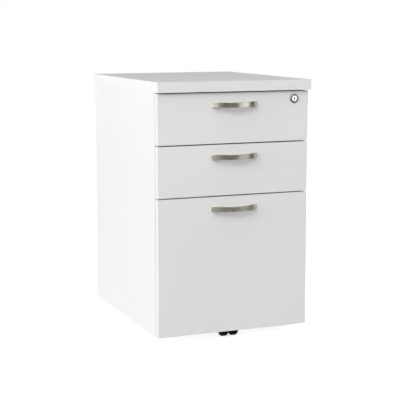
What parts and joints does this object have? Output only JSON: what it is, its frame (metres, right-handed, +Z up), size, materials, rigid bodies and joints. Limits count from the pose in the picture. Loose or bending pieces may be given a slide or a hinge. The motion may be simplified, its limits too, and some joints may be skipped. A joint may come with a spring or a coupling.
{
  "type": "rolling pedestal cabinet",
  "caption": "Under-desk pedestal on castors: an overhanging top, shallow box drawers over a deep filing drawer, bowed strap handles, a lock and an anti-tip roller.",
  "frame": {"origin": "middle of the footprint on the floor, handles included", "axes": "+Z up from the floor, +Y towards the back of the cabinet, +X towards its right-hand side as seen from the front"},
  "size_m": [0.404, 0.524, 0.64],
  "materials": {
    "white_melamine": "white melamine with a fine pearl texture",
    "drawer_board": "white foil-wrapped board",
    "hardboard": "white lacquered hardboard",
    "satin_nickel": "satin nickel plating",
    "bright_screws": "zinc plated",
    "cast_zinc": "bare die-cast zinc",
    "dark_chrome": "polished black chrome",
    "polished_chrome": "polished",
    "black_nylon": "moulded black nylon",
    "wheel_nylon": "smooth black nylon",
    "black_steel": "black powder coat",
    "zinc_steel": "zinc plated sheet"
  },
  "bodies": {
    "carcass": {"top_panel": "white_melamine", "left_side_panel": "white_melamine", "right_side_panel": "white_melamine", "back_panel": "white_melamine", "base_panel": "white_melamine", "cam_discs": "cast_zinc", "cam_bolts": "cast_zinc", "top_cabinet_rails": "zinc_steel", "middle_cabinet_rails": "zinc_steel", "file_cabinet_rails": "zinc_steel", "rail_screws": "bright_screws", "lock_bar_guides": "black_nylon", "castor_plates": "zinc_steel", "castor_plate_screws": "bright_screws"},
    "locking_bar": {"locking_bar": "zinc_steel"},
    "lock_plug": {"lock_plug": "polished_chrome", "lock_drive_pin": "zinc_steel"},
    "anti_tip_wheels": {"anti_tip_wheels": "wheel_nylon"},
    "top_middle_rails": {"top_middle_rails": "zinc_steel"},
    "top_drawer": {"top_drawer_front": "white_melamine", "top_drawer_left_side": "drawer_board", "top_drawer_right_side": "drawer_board", "top_drawer_back": "drawer_board", "top_drawer_bottom": "hardboard", "top_drawer_handle": "satin_nickel", "top_drawer_handle_screws": "bright_screws", "top_drawer_rails": "zinc_steel", "top_drawer_lock_catch": "zinc_steel", "lock_housing": "dark_chrome", "lock_nut": "cast_zinc"},
    "middle_middle_rails": {"middle_middle_rails": "zinc_steel"},
    "middle_drawer": {"middle_drawer_front": "white_melamine", "middle_drawer_left_side": "drawer_board", "middle_drawer_right_side": "drawer_board", "middle_drawer_back": "drawer_board", "middle_drawer_bottom": "hardboard", "middle_drawer_handle": "satin_nickel", "middle_drawer_handle_screws": "bright_screws", "middle_drawer_rails": "zinc_steel", "middle_drawer_lock_catch": "zinc_steel"},
    "file_middle_rails": {"file_middle_rails": "zinc_steel"},
    "file_drawer": {"file_drawer_front": "white_melamine", "file_drawer_left_side": "drawer_board", "file_drawer_right_side": "drawer_board", "file_drawer_back": "drawer_board", "file_drawer_bottom": "hardboard", "file_drawer_handle": "satin_nickel", "file_drawer_handle_screws": "bright_screws", "file_drawer_rails": "zinc_steel", "file_drawer_lock_catch": "zinc_steel", "hanging_file_rails": "zinc_steel", "anti_tip_bracket": "black_steel"},
    "castor_fork_front_left": {"castor_fork_front_left": "black_nylon"},
    "castor_wheels_front_left": {"castor_wheels_front_left": "wheel_nylon"},
    "castor_fork_front_right": {"castor_fork_front_right": "black_nylon"},
    "castor_wheels_front_right": {"castor_wheels_front_right": "wheel_nylon"},
    "castor_fork_rear_left": {"castor_fork_rear_left": "black_nylon"},
    "castor_wheels_rear_left": {"castor_wheels_rear_left": "wheel_nylon"},
    "castor_fork_rear_right": {"castor_fork_rear_right": "black_nylon"},
    "castor_wheels_rear_right": {"castor_wheels_rear_right": "wheel_nylon"}
  },
  "joints": [
    {"name": "top_drawer_slide", "type": "slide", "parent": "carcass", "child": "top_drawer", "axis": [0, -1, 0], "range_m": [0, 0.4]},
    {"name": "top_middle_rails_slide", "type": "slide", "parent": "carcass", "child": "top_middle_rails", "axis": [0, -1, 0], "range_m": [0, 0.2]},
    {"name": "middle_drawer_slide", "type": "slide", "parent": "carcass", "child": "middle_drawer", "axis": [0, -1, 0], "range_m": [0, 0.4]},
    {"name": "middle_middle_rails_slide", "type": "slide", "parent": "carcass", "child": "middle_middle_rails", "axis": [0, -1, 0], "range_m": [0, 0.2]},
    {"name": "file_drawer_slide", "type": "slide", "parent": "carcass", "child": "file_drawer", "axis": [0, -1, 0], "range_m": [0, 0.4]},
    {"name": "file_middle_rails_slide", "type": "slide", "parent": "carcass", "child": "file_middle_rails", "axis": [0, -1, 0], "range_m": [0, 0.2]},
    {"name": "lock_turn", "type": "hinge", "parent": "top_drawer", "child": "lock_plug", "pos_m": [0.1605, -0.225, 0.5935], "axis": [0, 1, 0], "range_deg": [0, 180]},
    {"name": "locking_bar_lift", "type": "slide", "parent": "carcass", "child": "locking_bar", "axis": [0, 0, 1], "range_m": [0, 0.008]},
    {"name": "castor_swivel_front_left", "type": "hinge", "parent": "carcass", "child": "castor_fork_front_left", "pos_m": [-0.134, -0.135, 0.045], "axis": [0, 0, 1], "continuous": true},
    {"name": "castor_roll_front_left", "type": "hinge", "parent": "castor_fork_front_left", "child": "castor_wheels_front_left", "pos_m": [-0.134, -0.119, 0.02], "axis": [1, 0, 0], "continuous": true},
    {"name": "castor_swivel_front_right", "type": "hinge", "parent": "carcass", "child": "castor_fork_front_right", "pos_m": [0.134, -0.135, 0.045], "axis": [0, 0, 1], "continuous": true},
    {"name": "castor_roll_front_right", "type": "hinge", "parent": "castor_fork_front_right", "child": "castor_wheels_front_right", "pos_m": [0.134, -0.119, 0.02], "axis": [1, 0, 0], "continuous": true},
    {"name": "castor_swivel_rear_left", "type": "hinge", "parent": "carcass", "child": "castor_fork_rear_left", "pos_m": [-0.134, 0.195, 0.045], "axis": [0, 0, 1], "continuous": true},
    {"name": "castor_roll_rear_left", "type": "hinge", "parent": "castor_fork_rear_left", "child": "castor_wheels_rear_left", "pos_m": [-0.134, 0.211, 0.02], "axis": [1, 0, 0], "continuous": true},
    {"name": "castor_swivel_rear_right", "type": "hinge", "parent": "carcass", "child": "castor_fork_rear_right", "pos_m": [0.134, 0.195, 0.045], "axis": [0, 0, 1], "continuous": true},
    {"name": "castor_roll_rear_right", "type": "hinge", "parent": "castor_fork_rear_right", "child": "castor_wheels_rear_right", "pos_m": [0.134, 0.211, 0.02], "axis": [1, 0, 0], "continuous": true},
    {"name": "anti_tip_roll", "type": "hinge", "parent": "file_drawer", "child": "anti_tip_wheels", "pos_m": [0, -0.1965, 0.0175], "axis": [1, 0, 0], "continuous": true}
  ],
  "couplings": [
    {"joint": "top_middle_rails_slide", "follows": "top_drawer_slide", "ratio": 0.5},
    {"joint": "middle_middle_rails_slide", "follows": "middle_drawer_slide", "ratio": 0.5},
    {"joint": "file_middle_rails_slide", "follows": "file_drawer_slide", "ratio": 0.5},
    {"joint": "lock_turn", "follows": "locking_bar_lift", "rad_per_m": 392.69}
  ]
}
